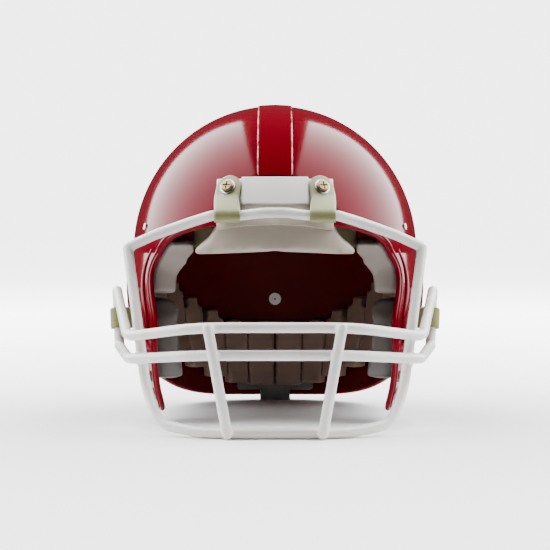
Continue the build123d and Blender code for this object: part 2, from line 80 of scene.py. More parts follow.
def skin(turn, along, inset=0.0):
    """Points of the form: turn is in degrees from straight right towards the back, along is the
    distance up the skin from the widest level."""
    turn, rise = np.radians(turn), np.clip(along / SKIN_SCALE, 0, math.pi / 2)
    z = EQUATOR_Z + np.minimum(along, 0) + (DOME_HEIGHT - inset) * np.sin(rise)
    wide, front, rear, squareness = level(z, inset)
    behind = np.sin(turn) > 0
    reach = np.where(behind, rear, front)
    power = np.where(behind, 2 + (squareness - 2) * 0.2, squareness)
    c, s = np.abs(np.cos(turn)) / wide, np.abs(np.sin(turn)) / reach
    radius = (c**power + s**power) ** (-1 / power) * np.cos(rise)
    x, y = radius * np.cos(turn), SHELL_Y + radius * np.sin(turn)
    swell = EAR_BULGE * np.exp(-(((y - EAR_HOLE[0]) / 50) ** 2) - ((z - 92) / 28) ** 4)
    x = x * (1 + swell / np.maximum(wide * np.cos(rise), 1))
    return np.stack([x, y, z], -1)


def stripe_skin(x, along):
    """Points of the form over the crown: x to the side, along from the front's widest level."""
    angle = along / SKIN_SCALE
    half_turn = math.pi * SKIN_SCALE
    k = np.sqrt(1 - (x / SHELL_HALF_WIDTH) ** 2)
    below = np.maximum(along - half_turn, 0)
    angle = np.minimum(angle, math.pi)
    reach = np.where(angle < math.pi / 2, -SHELL_FRONT, SHELL_REAR)
    y = SHELL_Y + reach * k * np.abs(np.cos(angle))
    z = EQUATOR_Z + DOME_HEIGHT * k * np.sin(angle) - below
    wide, _, rear, squareness = level(z, 0)
    power = 2 + (squareness - 2) * 0.2
    low_y = SHELL_Y + rear * (1 - (np.abs(x) / wide) ** power) ** (1 / power)
    return np.stack([x, np.where(below > 0, low_y, y), z], -1)


# ---- Outlines and grids -------------------------------------------------------------------


def smooth_line(points, spacing=2.5):
    """A smooth line through points: a natural cubic spline over the chord lengths."""
    points = np.array(points, float)
    t = np.concatenate([[0], np.cumsum(np.linalg.norm(np.diff(points, axis=0), axis=1))])
    h = np.diff(t)
    count = len(t)
    matrix, right = np.eye(count), np.zeros((count, 2))
    for i in range(1, count - 1):
        matrix[i, i - 1 : i + 2] = h[i - 1], 2 * (h[i - 1] + h[i]), h[i]
        slopes = (points[i + 1] - points[i]) / h[i], (points[i] - points[i - 1]) / h[i - 1]
        right[i] = 6 * (slopes[0] - slopes[1])
    bend = np.linalg.solve(matrix, right)
    s = np.linspace(0, t[-1], int(t[-1] / spacing) + 2)
    i = np.clip(np.searchsorted(t, s, side="right") - 1, 0, count - 2)
    a, b = ((t[i + 1] - s) / h[i])[:, None], ((s - t[i]) / h[i])[:, None]
    curve = (a**3 - a) * bend[i] + (b**3 - b) * bend[i + 1]
    return a * points[i] + b * points[i + 1] + curve * (h[i] ** 2)[:, None] / 6


def depth_inside(outline, a, b):
    """Distance from points (a, b) to a closed outline, positive inside it."""
    flat = np.stack([np.ravel(a), np.ravel(b)], -1)
    nearest = np.full(len(flat), np.inf)
    inside = np.zeros(len(flat), bool)
    for start, end in zip(outline, np.roll(outline, -1, axis=0)):
        edge = end - start
        t = np.clip((flat - start) @ edge / max(edge @ edge, 1e-9), 0, 1)
        nearest = np.minimum(nearest, np.linalg.norm(flat - start - t[:, None] * edge, axis=1))
        if start[1] != end[1]:
            crosses = (flat[:, 1] < start[1]) != (flat[:, 1] < end[1])
            at = start[0] + (flat[:, 1] - start[1]) / (end[1] - start[1]) * edge[0]
            inside ^= crosses & (flat[:, 0] < at)
    return np.where(inside, nearest, -nearest).reshape(np.shape(a))


def trimmed_grid(us, vs, inside):
    """The part of a grid where inside(u, v) is positive. Grid points beside its edge are moved onto
    the edge, so the part ends in a smooth line. Returns u, v and the faces."""
    u, v = np.meshgrid(us, vs, indexing="ij")
    g = inside(u, v)
    new_u, new_v, nearest = u.copy(), v.copy(), np.full(g.shape, np.inf)
    for axis in (0, 1):
        first = tuple(slice(None, -1) if k == axis else slice(None) for k in (0, 1))
        second = tuple(slice(1, None) if k == axis else slice(None) for k in (0, 1))
        crossing = (g[first] > 0) != (g[second] > 0)
        t = g[first] / np.where(crossing, g[first] - g[second], 1)
        for here, there, share in ((first, second, t), (second, first, 1 - t)):
            moved = crossing & (share <= 0.5) & (share < nearest[here])
            new_u[here] = np.where(moved, u[here] + share * (u[there] - u[here]), new_u[here])
            new_v[here] = np.where(moved, v[here] + share * (v[there] - v[here]), new_v[here])
            nearest[here] = np.where(moved, share, nearest[here])
    kept = (g > 0) | np.isfinite(nearest)
    index = np.arange(g.size).reshape(g.shape)
    corners = np.stack([index[:-1, :-1], index[1:, :-1], index[1:, 1:], index[:-1, 1:]], -1)
    corners = corners.reshape(-1, 4)
    kept_corners = kept.ravel()[corners]
    share = kept_corners / np.maximum(kept_corners.sum(1, keepdims=True), 1)
    middle = [(flat.ravel()[corners] * share).sum(1) for flat in (new_u, new_v)]
    count = kept_corners.sum(1)
    good = (count >= 3) & (inside(*middle) > 0)
    faces = [tuple(c[k]) for c, k in zip(corners[good], kept_corners[good])]
    used, faces = renumbered(faces, g.size)
    return new_u.ravel()[used], new_v.ravel()[used], faces


def renumbered(faces, count):
    """The vertices that faces use, and the faces over those alone."""
    used = np.unique(np.concatenate([np.array(f) for f in faces]))
    new = np.full(count, -1)
    new[used] = np.arange(len(used))
    return used, [tuple(int(new[i]) for i in f) for f in faces]


def placed(surface, u, v, faces):
    """Points and outward normals of a surface at u, v, and the faces turned to look outward."""
    step = 0.01
    points = surface(u, v)
    normals = np.cross(
        surface(u + step, v) - surface(u - step, v), surface(u, v + step) - surface(u, v - step)
    )
    length = np.linalg.norm(normals, axis=1, keepdims=True)
    normals = np.where(length > 1e-9, normals / np.maximum(length, 1e-9), [[0, 0, 1]])
    flip = np.sign((normals * (points - HEAD_CENTRE)).sum(1, keepdims=True))
    normals = normals * np.where(length > 1e-9, flip, 1)
    f = np.array([face[:3] for face in faces])
    looks = np.cross(points[f[:, 1]] - points[f[:, 0]], points[f[:, 2]] - points[f[:, 0]])
    if (looks * normals[f[:, 0]]).sum() < 0:
        faces = [face[::-1] for face in faces]
    return points, normals, faces


def mirrored_sheet(points, normals, faces):
    """A sheet with its mirror image in X = 0, joined where they meet."""
    count = len(points)
    flip = np.array([-1, 1, 1])
    points, normals = np.concatenate([points, points * flip]), np.concatenate([normals, normals * flip])
    faces = faces + [tuple(i + count for i in face[::-1]) for face in faces]
    keys = np.round(points * 1e3).astype(np.int64)
    _, first, same = np.unique(keys, axis=0, return_index=True, return_inverse=True)
    same = same.ravel()
    joined = []
    for face in faces:
        face = [int(same[i]) for i in face]
        face = [a for a, b in zip(face, face[1:] + face[:1]) if a != b]
        if len(face) > 2:
            joined.append(tuple(face))
    return points[first], normals[first], joined


def borders(faces):
    """The closed lines of vertices round a sheet, each in the direction of its faces."""
    edges = {(a, b) for face in faces for a, b in zip(face, face[1:] + face[:1])}
    after = {a: b for a, b in edges if (b, a) not in edges}
    loops = []
    while after:
        start, point = next(iter(after.items()))
        loop = [start]
        del after[start]
        while point != start and point in after:
            loop.append(point)
            point = after.pop(point)
        loops.append(np.array(loop))
    return loops


def sideways(points, normals, loop):
    """Directions along the sheet, square to its border and away from it."""
    ahead = np.roll(points[loop], -1, axis=0) - np.roll(points[loop], 1, axis=0)
    out = np.cross(ahead, normals[loop])
    for _ in range(3):
        out = out / np.maximum(np.linalg.norm(out, axis=1, keepdims=True), 1e-9)
        out = out + 0.5 * (np.roll(out, 1, axis=0) + np.roll(out, -1, axis=0))
    return out / np.linalg.norm(out, axis=1, keepdims=True)


def thickened(points, normals, faces, top, bottom, rounding, steps=4):
    """A solid from a sheet: from top to bottom, as heights over it, with a rounded edge."""
    top, bottom = (np.broadcast_to(h, len(points)).astype(float) for h in (top, bottom))
    vertices = [points + normals * top[:, None], points + normals * bottom[:, None]]
    looks = [normals, -normals]
    count = len(points)
    solid = list(faces) + [tuple(i + count for i in face[::-1]) for face in faces]
    total = 2 * count
    for loop in borders(faces):
        out, up = sideways(points, normals, loop), normals[loop]
        rings = [loop]
        for k in range(1, 2 * steps):
            angle = math.pi * k / (2 * steps)
            base = top[loop] - rounding if k <= steps else bottom[loop] + rounding
            side, rise = math.sin(angle), math.cos(angle)
            height = (base + rounding * rise)[:, None]
            vertices.append(points[loop] + out * rounding * side + up * height)
            looks.append(out * side + up * rise)
            rings.append(np.arange(total, total + len(loop)))
            total += len(loop)
        rings.append(loop + count)
        for ring, below in zip(rings, rings[1:]):
            for a, b, c, d in zip(np.roll(ring, -1), ring, below, np.roll(below, -1)):
                solid.append((int(a), int(b), int(c), int(d)))
    return np.concatenate(vertices), solid, np.concatenate(looks)


# ---- Objects ------------------------------------------------------------------------------


def new_object(name, vertices, faces, normals=None):
    """A smooth-shaded object from points in millimetres."""
    mesh = bpy.data.meshes.new(name)
    mesh.from_pydata((np.asarray(vertices) * MM).tolist(), [], faces)
    mesh.shade_smooth()
    if normals is not None:
        mesh.normals_split_custom_set_from_vertices(normals.tolist())
    obj = bpy.data.objects.new(name, mesh)
    bpy.context.scene.collection.objects.link(obj)
    return obj


def settled(obj):
    """Turns obj's modifiers into its mesh."""
    bpy.context.view_layer.update()
    shape = obj.evaluated_get(bpy.context.evaluated_depsgraph_get())
    mesh = bpy.data.meshes.new_from_object(shape)
    obj.modifiers.clear()
    obj.data = mesh
    mesh.shade_smooth()
    return obj


def joined(name, objects):
    """One object from several, which are removed."""
    bm = bmesh.new()
    for o in objects:
        bm.from_mesh(o.data)
    mesh = bpy.data.meshes.new(name)
    bm.to_mesh(mesh)
    bm.free()
    mesh.shade_smooth()
    for o in objects:
        bpy.data.objects.remove(o)
    obj = bpy.data.objects.new(name, mesh)
    bpy.context.scene.collection.objects.link(obj)
    return obj


def copied_pieces(name, nodes):
    """A copy of each separate solid of some CAD nodes."""
    bm = bmesh.new()
    for n in nodes:
        bm.from_mesh(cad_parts[n].data)
    bmesh.ops.remove_doubles(bm, verts=bm.verts, dist=1e-6)
    bm.verts.ensure_lookup_table()
    left, pieces = set(bm.verts), []
    while left:
        found, front = set(), {left.pop()}
        while front:
            found |= front
            front = {e.other_vert(v) for v in front for e in v.link_edges} - found
        left -= found
        order = {v: i for i, v in enumerate(found)}
        points = [[c / MM for c in v.co] for v in order]
        faces = {f for v in found for f in v.link_faces}
        pieces.append(new_object(name, points, [tuple(order[v] for v in f.verts) for f in faces]))
    bm.free()
    return pieces


def remeshed(obj, size, rounds):
    """Gives obj an even mesh with cells of that size, in millimetres, and rounds its edges off."""
    grid = obj.modifiers.new("even", "REMESH")
    grid.mode, grid.voxel_size = "VOXEL", size * MM
    if rounds:
        smooth = obj.modifiers.new("round", "SMOOTH")
        smooth.factor, smooth.iterations = 0.5, rounds
    return settled(obj)


def softened(name, nodes, body, size, rounds, apart=False):
    """Rounded stand-ins for CAD nodes, in one object. With apart, their solids aren't fused."""
    pieces = copied_pieces(name, nodes)
    if not apart and len(pieces) > 1:
        pieces = [joined(name, pieces)]
    obj = joined(name, [remeshed(p, size, rounds) for p in pieces])
    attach(obj, body)
    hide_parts(*nodes)
    return obj


# ---- Materials ----------------------------------------------------------------------------


def node(tree, kind, inputs=(), **settings):
    """A new node. inputs holds values, or sockets to link from; settings are the node's own."""
    made = tree.nodes.new(kind)
    for key, value in settings.items():
        setattr(made, key, value)
    for key, value in dict(inputs).items():
        if isinstance(value, bpy.types.NodeSocket):
            tree.links.new(value, made.inputs[key])
        else:
            made.inputs[key].default_value = value
    return made


def material(name, dark, light, roughness, blotch=30.0, grain=0.0, grain_scale=900.0, **shader):
    """A finish that drifts between two colours, with a fine grain. shader holds Principled inputs.
    Returns the material, its tree, its shader and the object coordinates."""
    made = bpy.data.materials.new(name)
    made.use_nodes = True
    tree = made.node_tree
    tree.nodes.clear()
    place = node(tree, "ShaderNodeTexCoord").outputs["Object"]
    clouds = node(tree, "ShaderNodeTexNoise", {"Vector": place, "Scale": blotch, "Detail": 5.0})
    colour = node(tree, "ShaderNodeMix", {"Factor": clouds.outputs["Fac"]}, data_type="RGBA")
    colour.inputs[6].default_value, colour.inputs[7].default_value = (*dark, 1), (*light, 1)
    low, high = roughness
    rough = node(tree, "ShaderNodeMapRange", {"Value": clouds.outputs["Fac"], "To Min": low, "To Max": high})
    surface = node(
        tree, "ShaderNodeBsdfPrincipled", {"Base Color": colour.outputs[2], "Roughness": rough.outputs[0]}
    )
    for key, value in shader.items():
        surface.inputs[key.replace("_", " ")].default_value = value
    if grain:
        fine = node(tree, "ShaderNodeTexNoise", {"Vector": place, "Scale": grain_scale, "Detail": 3.0})
        bump = node(
            tree, "ShaderNodeBump", {"Height": fine.outputs["Fac"], "Strength": grain, "Distance": 0.0004}
        )
        tree.links.new(bump.outputs["Normal"], surface.inputs["Normal"])
    out = node(tree, "ShaderNodeOutputMaterial")
    tree.links.new(surface.outputs[0], out.inputs["Surface"])
    return made, tree, surface, place


WORN_RED = (0.62, 0.30, 0.27, 1)


def worn_edges(tree, surface, place):
    """Pale worn lines along the stripe's two long edges, broken up by noise."""
    x = node(tree, "ShaderNodeSeparateXYZ", {"Vector": place}).outputs["X"]
    away = node(tree, "ShaderNodeMath", {0: x}, operation="ABSOLUTE").outputs[0]
    half = STRIPE_HALF_WIDTH * MM
    line = node(
        tree,
        "ShaderNodeMapRange",
        {"Value": away, "From Min": half - 0.0013, "From Max": half - 0.0006},
        interpolation_type="SMOOTHSTEP",
    ).outputs[0]
    flakes = node(tree, "ShaderNodeTexNoise", {"Vector": place, "Scale": 120.0, "Detail": 6.0})
    worn = node(
        tree, "ShaderNodeMapRange", {"Value": flakes.outputs["Fac"], "From Min": 0.38, "From Max": 0.56}
    ).outputs[0]
    share = node(tree, "ShaderNodeMath", {0: line, 1: worn}, operation="MULTIPLY").outputs[0]
    base = surface.inputs["Base Color"].links[0].from_socket
    mix = node(tree, "ShaderNodeMix", {"Factor": share}, data_type="RGBA")
    tree.links.new(base, mix.inputs[6])
    mix.inputs[7].default_value = WORN_RED
    tree.links.new(mix.outputs[2], surface.inputs["Base Color"])


def painted_shade_below(made, height, dark, light):
    """Painted shade: other colours for the part of a piece below a height, in metres."""
    _, tree, surface, place = made
    z = node(tree, "ShaderNodeSeparateXYZ", {"Vector": place}).outputs["Z"]
    below = node(
        tree, "ShaderNodeMapRange", {"Value": z, "From Min": height + 0.0008, "From Max": height - 0.0008}
    ).outputs[0]
    clouds = node(tree, "ShaderNodeTexNoise", {"Vector": place, "Scale": 60.0, "Detail": 4.0})
    other = node(tree, "ShaderNodeMix", {"Factor": clouds.outputs["Fac"]}, data_type="RGBA")
    other.inputs[6].default_value, other.inputs[7].default_value = (*dark, 1), (*light, 1)
    mix = node(tree, "ShaderNodeMix", {"Factor": below}, data_type="RGBA")
    tree.links.new(surface.inputs["Base Color"].links[0].from_socket, mix.inputs[6])
    tree.links.new(other.outputs[2], mix.inputs[7])
    tree.links.new(mix.outputs[2], surface.inputs["Base Color"])
    return made[0]


CREAM = (0.34, 0.295, 0.235), (0.42, 0.37, 0.30)
BUMPER_SHADE_Z = 0.1695  # painted shade: the bumper is a darker cream below its groove
JAW_SOFT_SHADE_Z = 0.054  # painted shade: the jaw pads are painted dark, less dark on their lower lobes
RED = dict(dark=(0.098, 0.0002, 0.004), light=(0.128, 0.0004, 0.0065), roughness=(0.09, 0.15))
GLOSS = dict(Specular_IOR_Level=0.19, Specular_Tint=(1, 0.30, 0.36, 1))
NICKEL = (0.52, 0.50, 0.47), (0.66, 0.64, 0.60)
BRASS = (0.20, 0.15, 0.08), (0.38, 0.30, 0.17)
# painted shade: the rear bumper, pale rubber like the front one, painted dark
REAR_BUMPER_SHADE = (0.10, 0.095, 0.09), (0.16, 0.15, 0.14)
VALVE_RUBBER = (0.60, 0.57, 0.52), (0.72, 0.69, 0.64)
BUMPER_RUBBER = (0.76, 0.745, 0.72), (0.86, 0.845, 0.82)
PAD_VINYL = (0.21, 0.17, 0.15), (0.30, 0.255, 0.23)
LINER_VINYL = (0.15, 0.088, 0.06), (0.235, 0.15, 0.11)
CLIP_VINYL = (0.18, 0.18, 0.06), (0.28, 0.275, 0.12)
TAN_FOAM = (0.15, 0.125, 0.06), (0.24, 0.20, 0.11)
MASK_COATING = (0.64, 0.625, 0.61), (0.74, 0.725, 0.71)
INSIDE_RED = (0.075, 0.0002, 0.001), (0.10, 0.0003, 0.0015)
# painted shade: the jaw pads' vinyl, far darker than the other pads', and less dark on their lower lobes
JAW_PAD_SHADE = (0.045, 0.032, 0.027), (0.075, 0.058, 0.05)
JAW_LOBE_SOFT_SHADE = (0.085, 0.08, 0.077), (0.13, 0.12, 0.115)
RED_GRAIN = dict(blotch=14.0, grain=0.04, grain_scale=500.0)
FOAM_GRAIN = dict(blotch=90.0, grain=0.9, grain_scale=1400.0)
CLIP_GLOSS = dict(Specular_IOR_Level=0.12, Transmission_Weight=0.15)
MATERIALS = {
    "shell_red": material("shell_red", **RED, **RED_GRAIN, **GLOSS)[0],
    # painted shade for the rear bumper's pale rubber
    "dark_rubber": material("dark_rubber", *REAR_BUMPER_SHADE, (0.55, 0.7), grain=0.2)[0],
    "cream_vinyl": material("cream_vinyl", *CREAM, (0.38, 0.5), grain=0.25)[0],
    "pad_vinyl": material("pad_vinyl", *PAD_VINYL, (0.35, 0.5), grain=0.2)[0],
    "liner_vinyl": material("liner_vinyl", *LINER_VINYL, (0.4, 0.55), grain=0.3)[0],
    "tan_foam": material("tan_foam", *TAN_FOAM, (0.85, 0.95), **FOAM_GRAIN)[0],
    "nickel": material("nickel", *NICKEL, (0.22, 0.34), Metallic=1.0)[0],
    "brass": material("brass", *BRASS, (0.25, 0.42), Metallic=1.0)[0],
    "valve_rubber": material("valve_rubber", *VALVE_RUBBER, (0.5, 0.65), grain=0.1)[0],
    "mask_coating": material("mask_coating", *MASK_COATING, (0.22, 0.32), grain=0.12, grain_scale=260.0)[0],
    "clip_vinyl": material("clip_vinyl", *CLIP_VINYL, (0.45, 0.6), grain=0.1, **CLIP_GLOSS)[0],
}
stripe_red, *stripe_nodes = material("stripe_red", **RED, **RED_GRAIN, **GLOSS)
worn_edges(*stripe_nodes)


def dressed(obj, slot, finish=None):
    """Gives obj the finish of a material slot, or another finish in that slot's place."""
    obj.data.materials.clear()
    obj.data.materials.append(finish or MATERIALS[slot])
    return obj


# the bumper's white rubber, with painted shade: a darker cream below its groove
bumper_base = material("bumper_rubber_and_shade", *BUMPER_RUBBER, (0.5, 0.65), grain=0.15)
bumper_rubber_and_shade = painted_shade_below(bumper_base, BUMPER_SHADE_Z, *CREAM)
inside_red = material("inside_red", *INSIDE_RED, (0.4, 0.55), Specular_IOR_Level=0.15)[0]
# painted shade: the jaw pads are dark, less dark on their lower lobes
jaw_shade_base = material("shaded_jaw_vinyl", *JAW_PAD_SHADE, (0.35, 0.5), grain=0.3)
shaded_jaw_vinyl = painted_shade_below(jaw_shade_base, JAW_SOFT_SHADE_Z, *JAW_LOBE_SOFT_SHADE)

# ---- The shell and its stripe -------------------------------------------------------------

RIM_RADIUS = WALL / 2
edge_line = smooth_line(BROW_EDGE + CHEEK_EDGE + JAW_EDGE)
shell_outline = np.concatenate([edge_line, [(200, 4), (200, 320), (-190, 320), (-190, 157)]])


def inside_shell(turn, along):
    """How far points of the skin are inside the shell's outline and outside its ear holes."""
    p = skin(turn, along)
    hole = np.hypot(p[..., 1] - EAR_HOLE[0], p[..., 2] - EAR_HOLE[1]) - EAR_HOLE_RADIUS
    return np.minimum(depth_inside(shell_outline, p[..., 1], p[..., 2]), hole) - RIM_RADIUS


top_of_skin = SKIN_SCALE * math.pi / 2
half = trimmed_grid(np.linspace(-90, 90, 201), np.linspace(-EQUATOR_Z, top_of_skin, 171), inside_shell)
sheet = mirrored_sheet(*placed(skin, *half))
shell = new_object("shell_skin", *thickened(*sheet, 0.0, -WALL, RIM_RADIUS, steps=5))
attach(shell, "helmet")
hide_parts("shell")
dressed(shell, "shell_red")
shell.data.materials.append(inside_red)
sides = len(sheet[2])  # the faces outside come first, then as many inside
for polygon in shell.data.polygons[sides : 2 * sides]:
    polygon.material_index = 1


def bead(name, path, out, up, half_width, height, closed=True, sections=10):
    """A low rounded bead along a path on the shell. An open one tapers to its ends."""
    count = len(path)
    taper = np.ones(count) if closed else np.sqrt(np.sin(np.linspace(0.02, math.pi - 0.02, count)))
    wide, high = (half_width * taper)[:, None], (height * taper)[:, None]
    rings = []
    for k in range(sections):
        angle = 2 * math.pi * k / sections
        rings.append(path + out * wide * math.cos(angle) + up * high * math.sin(angle))
    faces = []
    for k in range(sections):
        m = (k + 1) % sections
        for i in range(count if closed else count - 1):
            j = (i + 1) % count
            faces.append((k * count + i, k * count + j, m * count + j, m * count + i))
    if not closed:
        faces += [tuple(k * count + end for k in range(sections)) for end in (0, count - 1)]
    obj = new_object(name, np.concatenate(rings), faces)
    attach(obj, "helmet")
    return dressed(obj, "shell_red")


BEAD_INSET, BEAD_HALF_WIDTH, BEAD_HEIGHT = 2.2, 1.5, 0.8  # the bead round the shell's edge
RIDGE_INSET, RIDGE_HALF_WIDTH, RIDGE_HEIGHT = 11.0, 3.0, 1.5  # the ridge down each cheek
RIDGE_LOW, RIDGE_HIGH, RIDGE_REAR_Y = 58.0, 132.0, -30.0

points, normals, sheet_faces = sheet
opening = max(borders(sheet_faces), key=len)
edge, out, up = points[opening], sideways(points, normals, opening), normals[opening]
bead("shell_rim_bead", edge - out * BEAD_INSET, out, up, BEAD_HALF_WIDTH, BEAD_HEIGHT)
for name, side in (("left", 1), ("right", -1)):
    on_cheek = (edge[:, 1] < RIDGE_REAR_Y) & (edge[:, 2] > RIDGE_LOW) & (edge[:, 2] < RIDGE_HIGH)
    run = np.flatnonzero(on_cheek & (side * edge[:, 0] > 0))
    run = run[np.argsort(edge[run, 2])]
    path = edge[run] - out[run] * RIDGE_INSET
    size = RIDGE_HALF_WIDTH, RIDGE_HEIGHT
    bead(f"shell_cheek_ridge_{name}", path, out[run], up[run], *size, closed=False)

STRIPE_EDGE = 0.6  # its rounding
STRIPE_TOP, STRIPE_BOTTOM = 1.0, -0.4  # heights over the shell
front_along = SKIN_SCALE * math.asin((STRIPE_FRONT_Z - EQUATOR_Z) / DOME_HEIGHT)
rear_along = SKIN_SCALE * math.pi + EQUATOR_Z - STRIPE_REAR_Z


def inside_stripe(x, along):
    """How far points of the skin are inside the stripe's outline."""
    sides = STRIPE_HALF_WIDTH - np.abs(x)
    return np.minimum(np.minimum(sides, along - front_along), rear_along - along) - STRIPE_EDGE


across = np.linspace(-STRIPE_HALF_WIDTH - 1, STRIPE_HALF_WIDTH + 1, 25)
stripe_grid = trimmed_grid(across, np.linspace(front_along - 2, rear_along + 2, 190), inside_stripe)
stripe_sheet = placed(stripe_skin, *stripe_grid)
stripe_solid = thickened(*stripe_sheet, STRIPE_TOP, STRIPE_BOTTOM, STRIPE_EDGE, steps=3)
stripe = new_object("center_stripe_skin", *stripe_solid)
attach(stripe, "helmet")
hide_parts("center_stripe")
dressed(stripe, "shell_red", stripe_red)

# ---- The mask, its clips and the rubber bumpers -------------------------------------------

TOP_SCREW_X, TOP_SCREW_Z = 34.0, 180.4
HINGE_Y, HINGE_Z = -105.0, 161.0
CLIP_X, CLIP_HALF_WIDTH = 35.5, 9.7
TAB_ABOVE, TAB_BELOW = 10.0, 8.0  # how far the clip's tab reaches from its screw
STRAP_THICKNESS = 1.4
OUTER_LAYER, INNER_LAYER = 3.7, 2.3  # heights of the strap's two layers over the shell
LOOP_RADIUS = 5.2  # of the strap's middle, round the top bar


def top_strap_stations(side):
    """Places along a top clip's strap, down its outer layer, round the bar and up its inner layer:
    the middle, the direction across and the half width at each."""
    x, z = TOP_SCREW_X, TOP_SCREW_Z - EQUATOR_Z
    y = -SHELL_FRONT * math.sqrt(1 - (x / SHELL_HALF_WIDTH) ** 2 - (z / DOME_HEIGHT) ** 2)
    out = np.array([side * x / SHELL_HALF_WIDTH**2, y / SHELL_FRONT**2, z / DOME_HEIGHT**2])
    out /= np.linalg.norm(out)
    across = np.array([-out[1], out[0], 0]) / math.hypot(out[0], out[1])
    up = np.cross(out, across)
    screw = np.array([side * x, SHELL_Y + y, TOP_SCREW_Z])
    tab = []
    for d in np.linspace(0.15, TAB_ABOVE + TAB_BELOW, 26):
        short = max(0, 1 - d / CLIP_HALF_WIDTH)
        tab.append((screw + up * (TAB_ABOVE - d), across, CLIP_HALF_WIDTH * math.sqrt(1 - short**2)))
    loop = []
    for angle in np.radians(np.arange(120, 331, 10)):
        y, z = HINGE_Y + LOOP_RADIUS * math.cos(angle), HINGE_Z + LOOP_RADIUS * math.sin(angle)
        loop.append((np.array([side * CLIP_X, y, z]), np.array([1.0, 0, 0]), CLIP_HALF_WIDTH))
    outer = [(p + out * OUTER_LAYER, a, w) for p, a, w in tab]
    inner = [(p + out * INNER_LAYER, a, w) for p, a, w in reversed(tab)]
    return outer + loop + inner


def strap(name, stations, spacing=0.8, sections=24):
    """A flat strap with rounded edges along its stations, eased where it bends and twists."""
    rows = np.array([np.concatenate([p, a, [w]]) for p, a, w in stations])
    length = np.concatenate([[0], np.cumsum(np.linalg.norm(np.diff(rows[:, :3], axis=0), axis=1))])
    at = np.linspace(0, length[-1], int(length[-1] / spacing))
    rows = np.stack([np.interp(at, length, column) for column in rows.T], -1)
    for _ in range(8):
        rows[3:-3, :6] = 0.25 * rows[2:-4, :6] + 0.5 * rows[3:-3, :6] + 0.25 * rows[4:-2, :6]
    middle, across, half = rows[:, :3], rows[:, 3:6], rows[:, 6:]
    across = across / np.linalg.norm(across, axis=1, keepdims=True)
    thick = np.cross(np.gradient(middle, axis=0), across)
    thick *= STRAP_THICKNESS / 2 / np.linalg.norm(thick, axis=1, keepdims=True)
    rings = []
    for k in range(sections):
        c, s = math.cos(2 * math.pi * k / sections), math.sin(2 * math.pi * k / sections)
        wide, deep = math.copysign(abs(c) ** 0.35, c), math.copysign(abs(s) ** 0.7, s)
        rings.append(middle + across * half * wide + thick * deep)
    count = len(middle)
    faces = []
    for k in range(sections):
        here, there = k * count, (k + 1) % sections * count
        faces += [(here + i, here + i + 1, there + i + 1, there + i) for i in range(count - 1)]
    faces += [tuple(k * count + end for k in range(sections)) for end in (0, count - 1)]
    return new_object(name, np.concatenate(rings), faces)


MASK_NODES = sorted(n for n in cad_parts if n.startswith("mask_"))
mask = softened("face_mask", MASK_NODES, "facemask", 0.9, 12)
dressed(mask, "mask_coating")

for side in ("left", "right"):
    top_clip = strap(f"top_clip_strap_{side}", top_strap_stations(1 if side == "left" else -1))
    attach(top_clip, "helmet")
    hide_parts(f"top_clip_{side}")
    dressed(top_clip, "clip_vinyl")
    side_clip = softened(f"side_clip_loop_{side}", [f"side_clip_{side}"], "facemask", 0.55, 5)
    dressed(side_clip, "clip_vinyl")

front_bumper = softened("front_bumper_skin", ["front_bumper"], "helmet", 0.45, 5)
# the bumper's lip below its groove holds painted shade
dressed(front_bumper, "white_rubber", bumper_rubber_and_shade)
# the rear bumper is painted dark: painted shade on pale rubber
dressed(softened("rear_bumper_skin", ["rear_bumper"], "helmet", 0.5, 5), "dark_rubber")

# ---- The pads -----------------------------------------------------------------------------

TEMPLE_SEAM_Z = 0.1185  # a line of stitches across each temple pad
SEAM_HALF_WIDTH = 1.3 * MM


def puffed(pads, pressure=4.0, cap=5.0, frames=20):
    """Lets pads swell like stuffed covers. What lies against the shell or under stitches stays where
    it is, and no point moves further than cap millimetres."""
    rest = {}
    for pad in pads:
        co = np.array([v.co for v in pad.data.vertices])
        rest[pad.name] = co
        outward = co - HEAD_CENTRE * MM
        outward /= np.linalg.norm(outward, axis=1, keepdims=True)
        looks = np.array([v.normal for v in pad.data.vertices])
        low, high = co[:, 2].min(), co[:, 2].max()
        against_shell = ((looks * outward).sum(1) > 0.3) & (co[:, 2] > low + 0.3 * (high - low))
        if pad.name.startswith("temple"):
            against_shell |= np.abs(co[:, 2] - TEMPLE_SEAM_Z) < SEAM_HALF_WIDTH
        held = pad.vertex_groups.new(name="held")
        held.add([int(i) for i in np.flatnonzero(against_shell)], 1.0, "REPLACE")
        cloth = pad.modifiers.new("cloth", "CLOTH")
        cloth.settings.quality = 5
        cloth.settings.mass = 0.3
        cloth.settings.vertex_group_mass = "held"
        cloth.settings.use_pressure = True
        cloth.settings.uniform_pressure_force = pressure
        cloth.settings.effector_weights.gravity = 0.0
        cloth.point_cache.frame_start, cloth.point_cache.frame_end = 1, frames
    for number in range(1, frames + 1):
        bpy.context.scene.frame_set(number)
    for pad in pads:
        settled(pad)
        co = np.array([v.co for v in pad.data.vertices])
        move = co - rest[pad.name]
        length = np.linalg.norm(move, axis=1, keepdims=True)
        co = rest[pad.name] + move * np.minimum(1, cap * MM / np.maximum(length, 1e-9))
        pad.data.vertices.foreach_set("co", co.ravel())
        pad.data.update()
    bpy.context.scene.frame_set(1)


